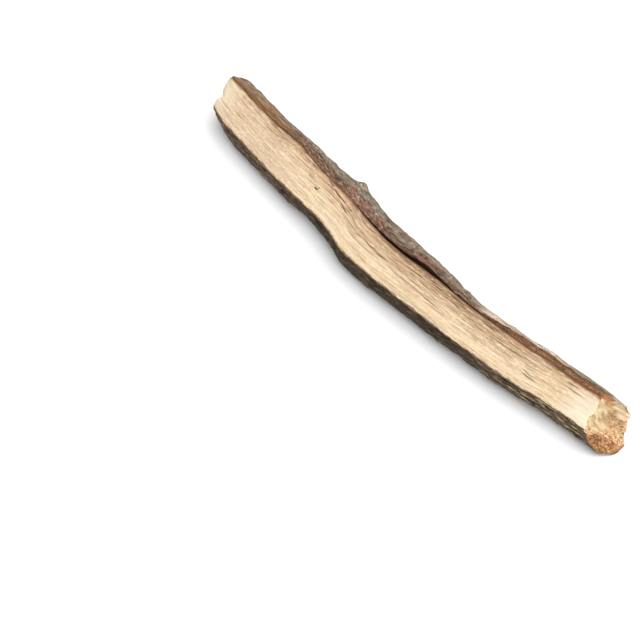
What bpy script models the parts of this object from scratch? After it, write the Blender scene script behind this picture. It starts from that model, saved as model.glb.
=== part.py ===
"""A split stick of mango wood, lying on its bark with the split face turned up to the front.

The stick is one body, as it grew: the heart wood with one long split face, and the bark round the
back, the underside and the front. Along the upper edge of the split face the bark has come away
from the wood, so a crack runs there. One end is sawn across and slopes, the other is chopped short.

Frame: +X along the stick to its sloping end, +Z up, and the origin under the middle of its box.
The driving sizes are in millimetres, and are turned into Blender's metres at the end.
"""

import math
from functools import lru_cache

import bmesh
import bpy
import numpy as np
from mathutils import Vector, noise

MM = 0.001
NODE = "mango_wood_stick"

# Driving sizes, in millimetres
LENGTH = 300.0
REST_HEIGHT = 0.0
FACE_CROWN = 0.9
FAR_REACH = 40.0
NEAR_REACH = 50.0

# Guide lines along the stick: (station x, value), in millimetres. Y runs to the back, Z up.
LOW_EDGE_Y = ((0, -17.6), (5, -20.0), (14, -22.6), (33, -24.9), (62, -27.0), (82, -28.0), (103, -28.6),
              (115, -30.2), (130, -33.6), (153, -33.8), (175, -32.2), (208, -29.5), (223, -27.9), (244, -25.2),
              (262, -21.7), (276, -19.4), (300, -17.6))
LOW_EDGE_Z = ((0, 12.6), (80, 12.2), (160, 12.8), (230, 12.3), (300, 12.5))
HIGH_EDGE_Y = ((0, -4.2), (24, -7.0), (48, -9.1), (68, -9.3), (88, -12.1), (115, -14.2), (130, -16.6),
               (145, -18.2), (158, -18.6), (172, -17.4), (190, -16.1), (208, -15.3), (228, -13.2),
               (242, -11.8), (255, -9.6), (268, -8.5), (285, -5.7), (300, -4.4))
HIGH_EDGE_Z = ((0, 21.5), (60, 23.0), (150, 23.8), (230, 23.4), (300, 23.0))
SHOULDER_Y = ((0, -1.4), (5, 0.4), (14, 0.6), (28, -0.5), (45, -1.7), (74, -2.1), (100, -3.4),
              (118, -4.4), (134, -6.6), (149, -7.0), (180, -7.7), (203, -9.7), (220, -8.7),
              (235, -7.3), (250, -4.8), (275, -2.4), (300, -0.8))
SHOULDER_Z = ((0, 20.2), (12, 21.4), (80, 21.6), (160, 22.4), (230, 22.6), (300, 22.0))
BACK_REACH = ((0, 2.6), (60, 3.4), (150, 3.8), (205, 3.2), (250, 1.6), (300, 0.8))
BELLY_Z = ((0, 0.9), (12, 0.5), (30, -0.7), (52, 0.5), (90, 1.0), (125, 0.3), (148, -0.7),
           (172, 0.3), (215, 1.1), (250, 0.5), (272, -0.7), (290, 0.3), (300, 0.7))
BELLY_SHIFT_Y = ((0, 3.4), (40, 3.4), (105, -2.0), (148, -3.6), (190, -2.0), (250, 2.4), (300, 2.6))

# The crack between wood and bark: its width and its depth along the stick.
CRACK_WIDTH = ((0, 0.4), (60, 0.4), (122, 0.5), (134, 0.8), (150, 1.4), (160, 1.9), (168, 2.8), (175, 2.8),
               (183, 1.7), (192, 0.8), (208, 0.8), (225, 2.2), (250, 3.2), (280, 3.3), (300, 2.6))
CRACK_DEPTH = ((0, 0.4), (60, 0.6), (122, 1.0), (134, 3.6), (150, 7.4), (166, 8.0), (180, 6.0), (192, 3.0),
               (208, 1.7), (225, 1.6), (260, 1.7), (300, 1.4))
UNDERCUT = ((0, 5.5), (9, 4.2), (28, 1.8), (50, 1.4), (90, 1.4), (300, 1.4))
LIP_RISE = ((0, -0.6), (25, 0.2), (110, 0.3), (150, 1.2), (190, 0.5), (230, 0.2), (300, 0.3))
LIP_WIDTH = ((0, 1.6), (20, 3.0), (150, 3.2), (200, 2.6), (230, 2.0), (260, 1.7), (300, 1.7))

# Knots in the bark: station x, place round the bark from the crack (0) to the low edge (1),
# radius, height, and the depth of the eye in the middle.
KNOTS = (
    (109.5, 0.13, 5.0, 3.4, 0.3),
    (206.0, 0.36, 8.5, 1.7, 1.9),
    (52.0, 0.40, 4.2, 1.0, 1.0),
    (150.0, 0.86, 4.6, 0.9, 0.8),
)

# How finely the solid is cut into facets
STATIONS = 72
FACE_STEPS = 13
CRACK_STEPS = 5
LIP_STEPS = 2
BARK_STEPS = 32
CAP_RINGS = (0.72, 0.42, 0.18)


@lru_cache(maxsize=None)
def prepared(table):
    """A guide line's stations and values, with the slope of the smooth curve at each of them."""
    stations, values = (np.array(column, float) for column in zip(*table))
    return stations, values, np.gradient(values, stations)


def along(table, x):
    """The value of a guide line at station x: smooth between its points, level beyond its ends."""
    stations, values, slopes = prepared(table)
    x = min(max(x, stations[0]), stations[-1])
    i = min(int(np.searchsorted(stations, x, side="right")) - 1, len(stations) - 2)
    span = stations[i + 1] - stations[i]
    t = (x - stations[i]) / span
    return (
        values[i] * (2 * t**3 - 3 * t**2 + 1)
        + values[i + 1] * (3 * t**2 - 2 * t**3)
        + span * slopes[i] * (t**3 - 2 * t**2 + t)
        + span * slopes[i + 1] * (t**3 - t**2)
    )


def smooth_step(low, high, value):
    t = min(max((value - low) / (high - low), 0.0), 1.0)
    return t * t * (3 - 2 * t)


def waves(x, y, z, length, girth, seed):
    """Smooth seedless noise from -1 to 1, drawn out along the grain."""
    return noise.noise(Vector((x / length + seed, y / girth - seed, z / girth + 2 * seed)))


def spline(points, count):
    """count + 1 points, evenly spaced along a smooth curve through the given ones."""
    points = np.array(points, float)
    padded = np.vstack((2 * points[0] - points[1], points, 2 * points[-1] - points[-2]))
    fine = []
    for a, b, c, d in zip(padded, padded[1:], padded[2:], padded[3:]):
        for t in np.linspace(0, 1, 24, endpoint=False):
            fine.append(0.5 * (2 * b + (c - a) * t + (2 * a - 5 * b + 4 * c - d) * t**2
                               + (3 * b - a - 3 * c + d) * t**3))
    fine = np.vstack((fine, points[-1]))
    run = np.concatenate(([0], np.cumsum(np.linalg.norm(np.diff(fine, axis=0), axis=1))))
    even = np.linspace(0, run[-1], count + 1)
    return np.column_stack([np.interp(even, run, fine[:, k]) for k in (0, 1)])


def edges_of(x):
    """The low and the high edge of the split face, and the bark's lip across the crack."""
    low = np.array((along(LOW_EDGE_Y, x) + 0.35 * waves(x, 0, 0, 17, 1, 3.1),
                    along(LOW_EDGE_Z, x)))
    high = np.array((along(HIGH_EDGE_Y, x) + 0.3 * waves(x, 0, 0, 13, 1, 7.7),
                     along(HIGH_EDGE_Z, x)))
    across = (high - low) / np.linalg.norm(high - low)
    outward = np.array((-across[1], across[0]))
    lip_inner = high + along(CRACK_WIDTH, x) * across + along(LIP_RISE, x) * outward
    lip_outer = lip_inner + along(LIP_WIDTH, x) * np.array((0.98, 0.12))
    return low, high, across, outward, lip_inner, lip_outer


def split_face(x, low, high, across, outward):
    """The torn face from its low edge to its high edge: a slight crown with ridges along the grain."""
    width = np.linalg.norm(high - low)
    points = []
    for t in np.linspace(0, 1, FACE_STEPS + 1):
        fade = math.sin(math.pi * t) ** 0.5
        crown = FACE_CROWN * math.sin(math.pi * t**0.7)
        ridges = 0.55 * waves(x, t * width, 0, 85, 3.4, 1.3) + 0.25 * waves(x, t * width, 0, 40, 1.6, 5.9)
        points.append(low + across * width * t + outward * (crown + ridges * fade))
    return points


def crack(x, high, outward, lip_inner):
    """The crack: down the wood's corner to its floor, then up the inside of the bark."""
    depth = along(CRACK_DEPTH, x)
    wood_foot = high + 0.3 * (lip_inner - high) - outward * depth
    bark_foot = high + 0.62 * (lip_inner - high) - outward * depth * 0.8
    return [(high + wood_foot) / 2, wood_foot, bark_foot, (bark_foot + lip_inner) / 2, lip_inner]


def bark_line(x, low, lip_outer):
    """The bark's outline from its lip over the shoulder, down the back, under the belly, up to the low edge."""
    shoulder = np.array((along(SHOULDER_Y, x), along(SHOULDER_Z, x)))
    back = shoulder[0] + along(BACK_REACH, x)
    belly = along(BELLY_Z, x)
    undercut = along(UNDERCUT, x)
    middle = (low[0] + back) / 2 + along(BELLY_SHIFT_Y, x)
    return spline(
        (
            lip_outer,
            shoulder,
            (back, 13.5),
            (back - 2.6, 4.6 + 0.3 * belly),
            (middle + 4.2, belly),
            (middle - 4.2, belly),
            (low[0] + undercut, 2.7 + 0.6 * belly),
            (low[0] - 0.9 + 0.4 * undercut, 7.4),
            low,
        ),
        BARK_STEPS,
    )


def bark_relief(x, y, z):
    """How far the bark stands proud of its outline: slow swells, then shallow plates."""
    swells = 0.5 * waves(x, y, z, 30, 12, 2.2)
    plates = 0.35 * waves(x, y, z, 10, 5.5, 8.4)
    return swells + plates


def knot_relief(distance, radius, height, eye):
    """A knot's collar, with the broken twig's eye sunk in its middle."""
    collar = height * math.exp(-((distance / (0.62 * radius)) ** 2))
    return collar - eye * math.exp(-((distance / (0.24 * radius)) ** 2))


def outward_normals(outline):
    """Unit normals of an open outline that runs clockwise round the solid."""
    tangents = np.gradient(outline, axis=0)
    tangents /= np.linalg.norm(tangents, axis=1)[:, None]
    return np.column_stack((-tangents[:, 1], tangents[:, 0]))


def knot_centres():
    centres = []
    for station, place, radius, height, eye in KNOTS:
        low, _, _, _, _, lip_outer = edges_of(station)
        outline = bark_line(station, low, lip_outer)
        y, z = outline[round(place * BARK_STEPS)]
        centres.append((np.array((station, y, z)), radius, height, eye))
    return centres


def bark_surface(x, low, lip_outer, knots):
    """The bark's outline with its relief and knots, flattened where it rests."""
    outline = bark_line(x, low, lip_outer)
    normals = outward_normals(outline)
    shaped = []
    for i, ((y, z), normal) in enumerate(zip(outline, normals)):
        fade = math.sin(math.pi * i / BARK_STEPS) ** 0.4
        relief = bark_relief(x, y, z) * fade
        for centre, radius, height, eye in knots:
            distance = np.linalg.norm(np.array((x, y, z)) - centre)
            relief += knot_relief(distance, radius, height, eye)
        y, z = (y, z) + normal * relief
        shaped.append(np.array((y, max(z, REST_HEIGHT))))
    return shaped


def ring_at(x, knots):
    """One closed section of the stick at station x, as (y, z) points."""
    low, high, across, outward, lip_inner, lip_outer = edges_of(x)
    lip = [lip_inner + (lip_outer - lip_inner) * k / LIP_STEPS for k in range(1, LIP_STEPS)]
    return np.array(
        split_face(x, low, high, across, outward)
        + crack(x, high, outward, lip_inner)
        + lip
        + bark_surface(x, low, lip_outer, knots)[:-1]
    )


def far_end_x(y, z):
    """The chopped end: a little askew, with a notch in the split face and the bark's corner worn round."""
    askew = 0.8 + 0.26 * max(-4.4 - y, 0)
    notch = 2.6 * math.exp(-(((y + 14.0) / 1.8) ** 2)) * smooth_step(6, 14, z)
    worn = 4.6 * smooth_step(-2.5, 3.0, y)
    rough = 0.5 * waves(3, y, z, 9, 3.5, 4.4)
    return askew + notch + worn + rough


def near_end_x(y, z):
    """The sawn end: it slopes back to the split face, and leaves a splinter standing behind the groove."""
    standing = 9.0 * smooth_step(-5.2, -1.6, y) * smooth_step(8, 17, z)
    slope = 305.4 + 0.42 * y - 0.78 * z + standing
    upright = 300.4 - 0.1 * z - 1.6 * smooth_step(-4, 2, y)
    tip = 2.2 * smooth_step(-4, -1, y) * smooth_step(16, 21, z)
    hollow = 1.7 * math.exp(-(((y + 13.6) / 2.4) ** 2) - ((z - 15.4) / 2.2) ** 2)
    rib = 1.3 * math.exp(-(((y + 9.2) / 1.5) ** 2) - ((z - 12.2) / 2.6) ** 2)
    rough = 0.35 * waves(5, y, z, 9, 3.0, 6.1)
    return min(slope, upright) + tip - hollow + rib + rough


def end_shift(x, y, z):
    """Where a point of the nominal section x really lies, with the shapes of the two ends drawn in."""
    if x < FAR_REACH:
        return x + far_end_x(y, z) * (1 - x / FAR_REACH)
    if x > LENGTH - NEAR_REACH:
        return x + (near_end_x(y, z) - LENGTH) * (x - LENGTH + NEAR_REACH) / NEAR_REACH
    return x


def section_at(x, knots):
    """The points in space of one section, each taken from the guide lines where it really lies."""
    ring = ring_at(x, knots)
    if FAR_REACH <= x <= LENGTH - NEAR_REACH:
        return [(x, y, z) for y, z in ring]
    points = []
    for i, (y, z) in enumerate(ring):
        y, z = ring_at(end_shift(x, y, z), knots)[i]
        points.append((end_shift(x, y, z), y, z))
    return points


def add_cap(stick, loop, end_x):
    """Closes an end with rings that shrink towards the middle of the section, and a fan to its heart."""
    outline = np.array([vert.co for vert in loop])[:, 1:]
    middle = outline.mean(axis=0)
    for size in CAP_RINGS:
        inner = [stick.verts.new((end_x(y, z), y, z)) for y, z in middle + (outline - middle) * size]
        bridge(stick, loop, inner)
        loop = inner
    heart = stick.verts.new((end_x(*middle), *middle))
    for here, there in zip(loop, loop[1:] + loop[:1]):
        stick.faces.new((here, there, heart))


def bridge(stick, first, second):
    """A band of faces between two closed loops with as many vertices each."""
    count = len(first)
    for i in range(count):
        j = (i + 1) % count
        stick.faces.new((first[i], first[j], second[j], second[i]))


def build_stick():
    """The loft from end to end through all the sections, closed at both ends."""
    knots = knot_centres()
    stick = bmesh.new()
    loops = []
    for x in np.linspace(0, LENGTH, STATIONS + 1):
        loops.append([stick.verts.new(point) for point in section_at(x, knots)])
    for first, second in zip(loops, loops[1:]):
        bridge(stick, first, second)
    add_cap(stick, loops[0], far_end_x)
    add_cap(stick, loops[-1], near_end_x)
    bmesh.ops.recalc_face_normals(stick, faces=stick.faces)
    bmesh.ops.triangulate(stick, faces=stick.faces)
    return stick


def centre_on_origin(stick):
    """Moves the middle of the box, in plan, over the origin. The rest spots are already at z = 0."""
    points = np.array([v.co for v in stick.verts])
    middle = (points.min(axis=0) + points.max(axis=0)) / 2
    bmesh.ops.translate(stick, vec=(-middle[0], -middle[1], 0), verts=stick.verts)
    return middle


def wood_material():
    material = bpy.data.materials.new("mango_wood")
    material.use_nodes = True
    shader = material.node_tree.nodes["Principled BSDF"]
    shader.inputs["Base Color"].default_value = (0.62, 0.44, 0.24, 1)
    shader.inputs["Roughness"].default_value = 0.8
    shader.inputs["Metallic"].default_value = 0.0
    return material


def bark_material():
    material = bpy.data.materials.new("mango_bark")
    material.use_nodes = True
    shader = material.node_tree.nodes["Principled BSDF"]
    shader.inputs["Base Color"].default_value = (0.13, 0.10, 0.07, 1)
    shader.inputs["Roughness"].default_value = 0.9
    shader.inputs["Metallic"].default_value = 0.0
    return material


def paint_bark(mesh, ring_size):
    """Gives the bark's own material to the faces that lie between the lip and the low edge."""
    first_bark = FACE_STEPS + CRACK_STEPS
    for polygon in mesh.polygons:
        places = [v % ring_size for v in polygon.vertices]
        on_side = max(polygon.vertices) < (STATIONS + 1) * ring_size
        around = all(p >= first_bark or p == 0 for p in places)
        polygon.material_index = 1 if on_side and around and max(places) >= first_bark else 0


def clear_scene():
    for obj in list(bpy.data.objects):
        bpy.data.objects.remove(obj, do_unlink=True)


def main():
    clear_scene()
    stick = build_stick()
    centre_on_origin(stick)
    bmesh.ops.scale(stick, vec=(MM, MM, MM), verts=stick.verts)
    mesh = bpy.data.meshes.new(NODE)
    stick.to_mesh(mesh)
    stick.free()
    mesh.materials.append(wood_material())
    mesh.materials.append(bark_material())
    ring_size = len(ring_at(0, ()))
    paint_bark(mesh, ring_size)
    mesh.shade_smooth()
    mesh.set_sharp_from_angle(angle=math.radians(35))
    collection = bpy.data.collections.new("mango wood stick")
    bpy.context.scene.collection.children.link(collection)
    collection.objects.link(bpy.data.objects.new(NODE, mesh))


main()
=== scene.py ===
import math

import bmesh
import bpy
import numpy as np
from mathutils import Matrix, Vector, noise


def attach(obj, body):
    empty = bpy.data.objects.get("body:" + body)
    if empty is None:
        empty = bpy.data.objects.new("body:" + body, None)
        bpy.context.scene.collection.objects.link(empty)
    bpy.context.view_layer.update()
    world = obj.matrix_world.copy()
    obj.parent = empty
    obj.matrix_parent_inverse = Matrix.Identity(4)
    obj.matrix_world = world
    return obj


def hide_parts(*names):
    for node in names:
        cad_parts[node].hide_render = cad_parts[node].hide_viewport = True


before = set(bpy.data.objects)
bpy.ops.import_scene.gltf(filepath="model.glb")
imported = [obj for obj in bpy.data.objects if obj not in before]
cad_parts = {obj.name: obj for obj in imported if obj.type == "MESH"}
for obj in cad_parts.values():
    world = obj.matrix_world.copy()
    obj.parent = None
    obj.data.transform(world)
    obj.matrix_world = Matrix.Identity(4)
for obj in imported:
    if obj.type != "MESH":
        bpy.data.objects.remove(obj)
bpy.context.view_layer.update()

# A split stick of mango wood: torn heart wood with bark round its back and underside, lying on its
# bark. The guide lines are those of the solid: x runs along the stick from its chopped end, y to the
# back and z up, all in millimetres, and a point goes to Blender's metres by to_world().

MM = 0.001
STICK = "mango_wood_stick"
LENGTH = 300.0
FAR_REACH = 40.0
NEAR_REACH = 50.0
MIDDLE = (150.556, -15.413, 0.0)

# Guide lines along the stick: (station x, value)
LOW_EDGE_Y = ((0, -17.6), (5, -20.0), (14, -22.6), (33, -24.9), (62, -27.0), (82, -28.0), (103, -28.6),
              (115, -30.2), (130, -33.6), (153, -33.8), (175, -32.2), (208, -29.5), (223, -27.9),
              (244, -25.2), (262, -21.7), (276, -19.4), (300, -17.6))
LOW_EDGE_Z = ((0, 12.6), (80, 12.2), (160, 12.8), (230, 12.3), (300, 12.5))
HIGH_EDGE_Y = ((0, -4.2), (24, -7.0), (48, -9.1), (68, -9.3), (88, -12.1), (115, -14.2), (130, -16.6),
               (145, -18.2), (158, -18.6), (172, -17.4), (190, -16.1), (208, -15.3), (228, -13.2),
               (242, -11.8), (255, -9.6), (268, -8.5), (285, -5.7), (300, -4.4))
HIGH_EDGE_Z = ((0, 21.5), (60, 23.0), (150, 23.8), (230, 23.4), (300, 23.0))
SHOULDER_Y = ((0, -1.4), (5, 0.4), (14, 0.6), (28, -0.5), (45, -1.7), (74, -2.1), (100, -3.4),
              (118, -4.4), (134, -6.6), (149, -7.0), (180, -7.7), (203, -9.7), (220, -8.7),
              (235, -7.3), (250, -4.8), (275, -2.4), (300, -0.8))
SHOULDER_Z = ((0, 20.2), (12, 21.4), (80, 21.6), (160, 22.4), (230, 22.6), (300, 22.0))
BACK_REACH = ((0, 2.6), (60, 3.4), (150, 3.8), (205, 3.2), (250, 1.6), (300, 0.8))
BELLY_Z = ((0, 0.9), (12, 0.5), (30, -0.7), (52, 0.5), (90, 1.0), (125, 0.3), (148, -0.7),
           (172, 0.3), (215, 1.1), (250, 0.5), (272, -0.7), (290, 0.3), (300, 0.7))
BELLY_SHIFT_Y = ((0, 3.4), (40, 3.4), (105, -2.0), (148, -3.6), (190, -2.0), (250, 2.4), (300, 2.6))
CRACK_WIDTH = ((0, 0.4), (60, 0.4), (122, 0.5), (134, 0.8), (150, 1.4), (160, 1.9), (168, 2.8), (175, 2.8),
               (183, 1.7), (192, 0.8), (208, 0.8), (225, 2.2), (250, 3.2), (280, 3.3), (300, 2.6))
CRACK_DEPTH = ((0, 0.4), (60, 0.6), (122, 1.0), (134, 3.6), (150, 7.4), (166, 8.0), (180, 6.0), (192, 3.0),
               (208, 1.7), (225, 1.6), (260, 1.7), (300, 1.4))
UNDERCUT = ((0, 5.5), (9, 4.2), (28, 1.8), (50, 1.4), (90, 1.4), (300, 1.4))
LIP_RISE = ((0, -0.6), (25, 0.2), (110, 0.3), (150, 1.2), (190, 0.5), (230, 0.2), (300, 0.3))
LIP_WIDTH = ((0, 1.6), (20, 3.0), (150, 3.2), (200, 2.6), (230, 2.0), (260, 1.7), (300, 1.7))

# How much of the bark's top has lost its outer skin, measured from the crack: (station x, width)
BARE_WIDTH = ((0, 5.4), (32, 5.2), (50, 3.8), (90, 3.4), (104, 3.4), (120, 4.6), (136, 4.6), (146, 3.4),
              (200, 3.0), (212, 0.8), (300, 0.8))

# Lines over the sawn end: (y, z). Above the first the wood tore out in facets, below the second is bark
TORN_LINE = ((-18, 12.4), (-13.2, 11.6), (-9.5, 10.6), (-6.5, 15.0), (-4.5, 20.5), (-4.0, 24.0))
BARK_LINE = ((-18, 11.1), (-13, 9.9), (-8.7, 6.2), (-6.2, 3.6), (-3.7, 2.5), (0, 0.8))

# The middle of both ends' sections, which the worn rims are drawn in to, and the near rim's width
ENDS_MIDDLE = (0.0, -10.5, 12.0)
NEAR_RIM_WIDTH = 1.2

# Knots in the bark: station x, place round the bark from the crack (0) to the low edge (1),
# radius, height, and the depth of the eye in the middle
KNOTS = (
    (109.5, 0.13, 6.0, 3.1, 0.3),
    (206.0, 0.36, 8.5, 1.7, 1.9),
    (52.0, 0.40, 4.2, 1.0, 1.0),
    (150.0, 0.86, 4.6, 0.9, 0.8),
)

# The rings round a knot's eye in radians for each millimetre, and the depth of the bark's furrows
RING_PITCH = 2.8
FURROW_DEPTH = 0.6

# Fissures in the split face: station x, share of the width from the low edge, length, depth, slant
FISSURES = (
    (93.5, 0.545, 2.4, 1.2, -0.3), (94.9, 0.575, 1.3, 1.1, 1.3),
    (48.0, 0.80, 22.0, 0.35, 0.05), (50.0, 0.92, 24.0, 0.35, -0.03), (56.0, 0.86, 12.0, 0.30, 0.12),
    (106.0, 0.84, 9.0, 0.7, -0.22), (114.0, 0.70, 9.0, 0.55, -0.30), (99.0, 0.92, 6.0, 0.6, -0.1),
    (112.0, 0.83, 5.0, 0.6, -0.1), (118.0, 0.81, 6.0, 0.5, 0.0), (84.0, 0.90, 7.0, 0.4, 0.05),
    (129.0, 0.90, 9.0, 0.4, 0.0), (133.0, 0.57, 6.0, 0.5, 0.2), (140.5, 0.59, 11.0, 0.5, -0.04),
    (151.5, 0.58, 14.0, 0.4, 0.0), (163.0, 0.66, 18.0, 0.3, -0.02), (186.0, 0.44, 16.0, 0.3, 0.02),
    (197.0, 0.78, 22.0, 0.4, 0.0), (226.0, 0.62, 13.0, 0.3, -0.45), (223.5, 0.47, 6.0, 0.32, -0.45),
    (251.0, 0.36, 10.0, 0.55, -0.15), (250.0, 0.44, 9.0, 0.4, -0.22), (243.0, 0.72, 20.0, 0.3, 0.0),
    (256.0, 0.50, 14.0, 0.3, 0.02),
    (40.0, 0.62, 18.0, 0.25, 0.01), (28.0, 0.30, 12.0, 0.25, -0.02), (66.0, 0.42, 12.0, 0.2, 0.0),
    (74.0, 0.75, 15.0, 0.3, 0.03), (141.0, 0.30, 10.0, 0.25, 0.0), (171.0, 0.22, 12.0, 0.2, 0.02),
    (208.0, 0.28, 16.0, 0.25, -0.03),
)
SMALL_FISSURES = 70

# How finely the surfaces are cut
FACE_ROWS = 860
FACE_COLUMNS = 96
CRACK_COLUMNS = 14
BARK_ROWS = 600
INNER_COLUMNS = 12
LIP_COLUMNS = 8
FINE_SKIN_COLUMNS = 62
WIDE_SKIN_COLUMNS = 82
FINE_SKIN_SHARE = 0.26
CAP_RINGS = 44


def srgb(red, green, blue):
    """A colour as Blender's linear values, from values of 0 to 255 as on a screen."""
    screen = (red / 255, green / 255, blue / 255)
    linear = [c / 12.92 if c <= 0.04045 else ((c + 0.055) / 1.055) ** 2.4 for c in screen]
    return (*linear, 1.0)


def to_world(points):
    return (np.asarray(points) - np.array(MIDDLE)) * MM


# Guide lines and sections

def along(table, x):
    """A guide line's value at each station: smooth between its points, level beyond its ends."""
    stations, values = (np.array(column, float) for column in zip(*table))
    slopes = np.gradient(values, stations)
    x = np.clip(x, stations[0], stations[-1])
    i = np.clip(np.searchsorted(stations, x, side="right") - 1, 0, len(stations) - 2)
    span = stations[i + 1] - stations[i]
    t = (x - stations[i]) / span
    return (
        values[i] * (2 * t**3 - 3 * t**2 + 1)
        + values[i + 1] * (3 * t**2 - 2 * t**3)
        + span * slopes[i] * (t**3 - 2 * t**2 + t)
        + span * slopes[i + 1] * (t**3 - t**2)
    )


def smooth_step(low, high, value):
    t = np.clip((value - low) / (high - low), 0.0, 1.0)
    return t * t * (3 - 2 * t)


def waves(x, y, z, length, girth, seed):
    """Smooth noise from -1 to 1, drawn out along the grain."""
    x, y, z = np.broadcast_arrays(x, y, z)
    places = np.column_stack(
        (x.ravel() / length + seed, y.ravel() / girth - seed, z.ravel() / girth + 2 * seed)
    )
    return np.array([noise.noise(place) for place in places.tolist()]).reshape(x.shape)


def edges_of(x):
    """Along the stations x: the face's low and high edges, the ways across and out, and the bark's lip."""
    flat = np.zeros_like(x)
    low_y = along(LOW_EDGE_Y, x) + 0.35 * waves(x, flat, flat, 17, 1, 3.1)
    high_y = along(HIGH_EDGE_Y, x) + 0.3 * waves(x, flat, flat, 13, 1, 7.7)
    low = np.column_stack((low_y, along(LOW_EDGE_Z, x)))
    high = np.column_stack((high_y, along(HIGH_EDGE_Z, x)))
    across = (high - low) / np.linalg.norm(high - low, axis=1)[:, None]
    outward = np.column_stack((-across[:, 1], across[:, 0]))
    lip_inner = high + along(CRACK_WIDTH, x)[:, None] * across + along(LIP_RISE, x)[:, None] * outward
    lip_outer = lip_inner + along(LIP_WIDTH, x)[:, None] * np.array((0.98, 0.12))
    return low, high, across, outward, lip_inner, lip_outer


def crack_feet(x, high, outward, lip_inner):
    """The two corners of the crack's floor, at the wood and at the bark."""
    depth = along(CRACK_DEPTH, x)[:, None]
    wood_foot = high + 0.3 * (lip_inner - high) - outward * depth
    bark_foot = high + 0.62 * (lip_inner - high) - outward * depth * 0.8
    return wood_foot, bark_foot


def spline(points, shares):
    """Points at the given shares of the length of a smooth curve through the given ones."""
    points = np.array(points, float)
    padded = np.vstack((2 * points[0] - points[1], points, 2 * points[-1] - points[-2]))
    t = np.linspace(0, 1, 24, endpoint=False)[:, None]
    fine = [
        0.5 * (2 * b + (c - a) * t + (2 * a - 5 * b + 4 * c - d) * t**2 + (3 * b - a - 3 * c + d) * t**3)
        for a, b, c, d in zip(padded, padded[1:], padded[2:], padded[3:])
    ]
    fine = np.vstack(fine + [points[-1]])
    run = np.concatenate(([0], np.cumsum(np.linalg.norm(np.diff(fine, axis=0), axis=1))))
    return np.column_stack([np.interp(shares * run[-1], run, fine[:, k]) for k in (0, 1)])


def bark_line(x, low, lip_outer, shares):
    """The bark's outline at one station, from its lip over the shoulder and the belly to the low edge."""
    shoulder = np.array((along(SHOULDER_Y, x), along(SHOULDER_Z, x)))
    back = shoulder[0] + along(BACK_REACH, x)
    belly = along(BELLY_Z, x)
    undercut = along(UNDERCUT, x)
    middle = (low[0] + back) / 2 + along(BELLY_SHIFT_Y, x)
    return spline(
        (
            lip_outer,
            shoulder,
            (back, 13.5),
            (back - 2.6, 4.6 + 0.3 * belly),
            (middle + 4.2, belly),
            (middle - 4.2, belly),
            (low[0] + undercut, 2.7 + 0.6 * belly),
            (low[0] - 0.9 + 0.4 * undercut, 7.4),
            low,
        ),
        shares,
    )


def far_end_x(y, z):
    """The chopped end: a little askew, with a notch in the split face and the bark's corner worn round."""
    askew = 0.8 + 0.26 * np.maximum(-4.4 - y, 0)
    notch = 2.6 * np.exp(-(((y + 14.0) / 1.8) ** 2)) * smooth_step(6, 14, z)
    worn = 4.6 * smooth_step(-2.5, 3.0, y)
    return askew + notch + worn + 0.5 * waves(3.0, y, z, 9, 3.5, 4.4)


def near_end_x(y, z):
    """The sawn end: it slopes back to the split face, and leaves a splinter standing behind the groove."""
    standing = 9.0 * smooth_step(-5.2, -1.6, y) * smooth_step(8, 17, z)
    slope = 305.4 + 0.42 * y - 0.78 * z + standing
    upright = 300.4 - 0.1 * z - 1.6 * smooth_step(-4, 2, y)
    tip = 2.2 * smooth_step(-4, -1, y) * smooth_step(16, 21, z)
    hollow = 1.7 * np.exp(-(((y + 13.6) / 2.4) ** 2) - ((z - 15.4) / 2.2) ** 2)
    rib = 1.3 * np.exp(-(((y + 9.2) / 1.5) ** 2) - ((z - 12.2) / 2.6) ** 2)
    rough = 0.35 * waves(5.0, y, z, 9, 3.0, 6.1) + 0.5 * waves(5.0, y, z, 9, 1.1, 2.3)
    return np.minimum(slope, upright) + tip - hollow + rib + rough


def end_shift(x, y, z):
    """Where the points of nominal sections really lie, with the shapes of the two ends drawn in."""
    far = np.clip(1 - x / FAR_REACH, 0, None)
    near = np.clip((x - LENGTH + NEAR_REACH) / NEAR_REACH, 0, None)
    return x + far_end_x(y, z) * far + (near_end_x(y, z) - LENGTH) * near


def draw_ends(x, section):
    """Slides the rows of sections along their own guide lines, to where the ends put them."""
    columns = section.shape[1]
    stations = np.repeat(x[:, None], columns, axis=1)
    moved = end_shift(stations, section[..., 0], section[..., 1])
    slid = np.empty_like(section)
    for j in range(columns):
        slid[:, j, 0] = np.interp(moved[:, j], x, section[:, j, 0])
        slid[:, j, 1] = np.interp(moved[:, j], x, section[:, j, 1])
    return np.dstack((end_shift(stations, slid[..., 0], slid[..., 1]), slid))


def at_points(points_x, x, ways):
    """Ways within the sections, given along the stations x, at each point of a surface."""
    sideways, upward = (np.interp(points_x, x, ways[:, k]) for k in (0, 1))
    return np.dstack((np.zeros_like(points_x), sideways, upward))


def section_normals(surface):
    """Outward normals within each section. The columns run clockwise round the stick."""
    tangent = np.gradient(surface[..., 1:], axis=1)
    tangent /= np.linalg.norm(tangent, axis=2)[..., None] + 1e-9
    normal = np.zeros_like(surface)
    normal[..., 1] = -tangent[..., 1]
    normal[..., 2] = tangent[..., 0]
    return normal


# Meshes

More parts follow.
